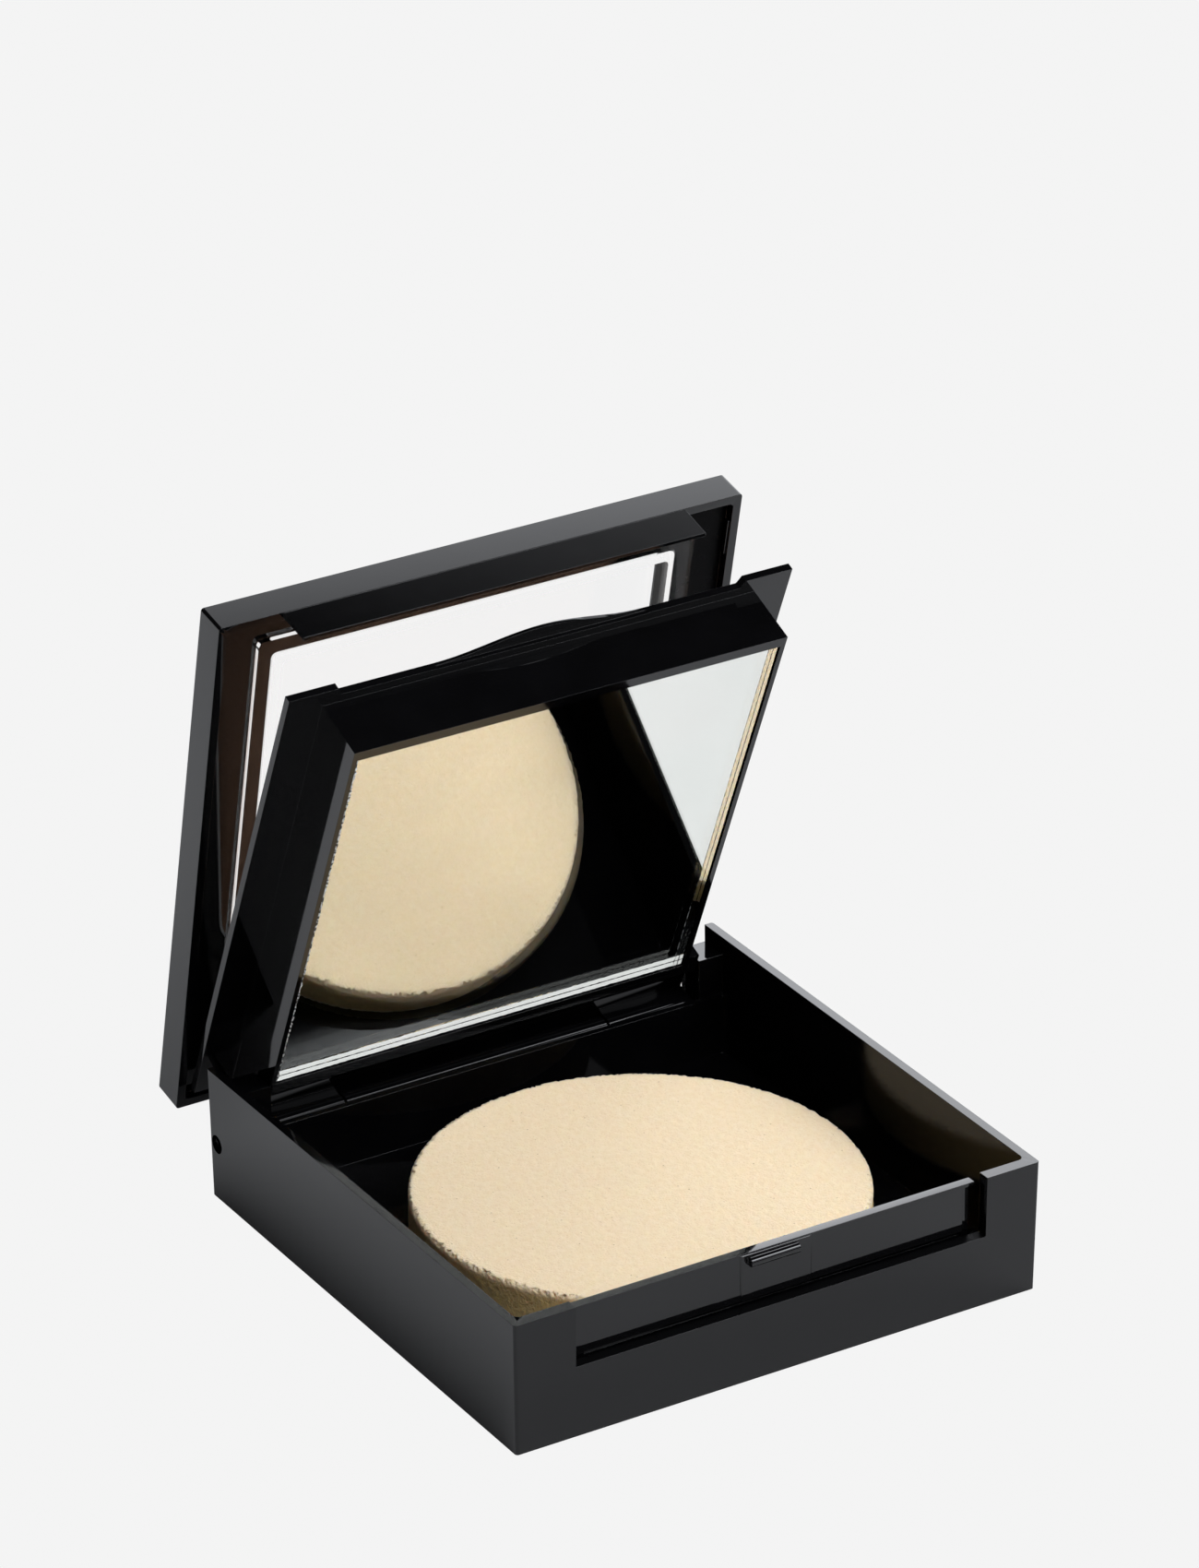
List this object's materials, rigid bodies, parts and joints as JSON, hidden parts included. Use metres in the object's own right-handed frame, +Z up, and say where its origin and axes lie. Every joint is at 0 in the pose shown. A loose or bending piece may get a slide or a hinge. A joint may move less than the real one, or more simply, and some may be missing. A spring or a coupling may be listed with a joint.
{
  "type": "powder compact",
  "caption": "Square hinged powder compact: tray with foam puff, middle leaf with mirror and pressed powder, windowed lid with front flap and snap catch.",
  "frame": {"origin": "middle of the tray's flat underside", "axes": "+Z up, +X to the right along the front edge, -Y towards the front flap and catch; the hinge pin runs along X at the back"},
  "size_m": [0.075, 0.0881, 0.0825],
  "materials": {
    "black_plastic": "polished black moulded plastic",
    "steel": "drawn steel wire",
    "puff_foam": "fine cream latex foam, open pores",
    "mirror_glass": "clear float glass with ground edges",
    "silvering": "mirror silvering",
    "tape": "white double-sided tape",
    "glue": "hot-melt glue",
    "pan_aluminium": "drawn aluminium pan",
    "pressed_powder": "matte pressed face powder",
    "clear_plastic": "clear polished moulded plastic"
  },
  "bodies": {
    "tray": {"base_tray": "black_plastic", "latch_plate": "black_plastic", "hinge_pin": "steel"},
    "puff": {"puff": "puff_foam"},
    "leaf": {"leaf_frame": "black_plastic", "mirror_glass": "mirror_glass", "mirror_silvering": "silvering", "mirror_tape": "tape", "pan_glue": "glue", "powder_pan": "pan_aluminium", "powder_cake": "pressed_powder"},
    "lid": {"lid_frame": "black_plastic", "lid_window": "clear_plastic"}
  },
  "joints": [
    {"name": "leaf_hinge", "type": "hinge", "parent": "tray", "child": "leaf", "pos_m": [0, 0.0356, 0.0079], "axis": [-1, 0, 0], "range_deg": [-67.42, 4]},
    {"name": "lid_hinge", "type": "hinge", "parent": "leaf", "child": "lid", "pos_m": [0, 0.0356, 0.0079], "axis": [-1, 0, 0], "range_deg": [-10.72, 27.8]},
    {"name": "puff_lift", "type": "slide", "parent": "tray", "child": "puff", "axis": [0, -0.2207, 0.9753], "range_m": [0, 0.0222]}
  ]
}
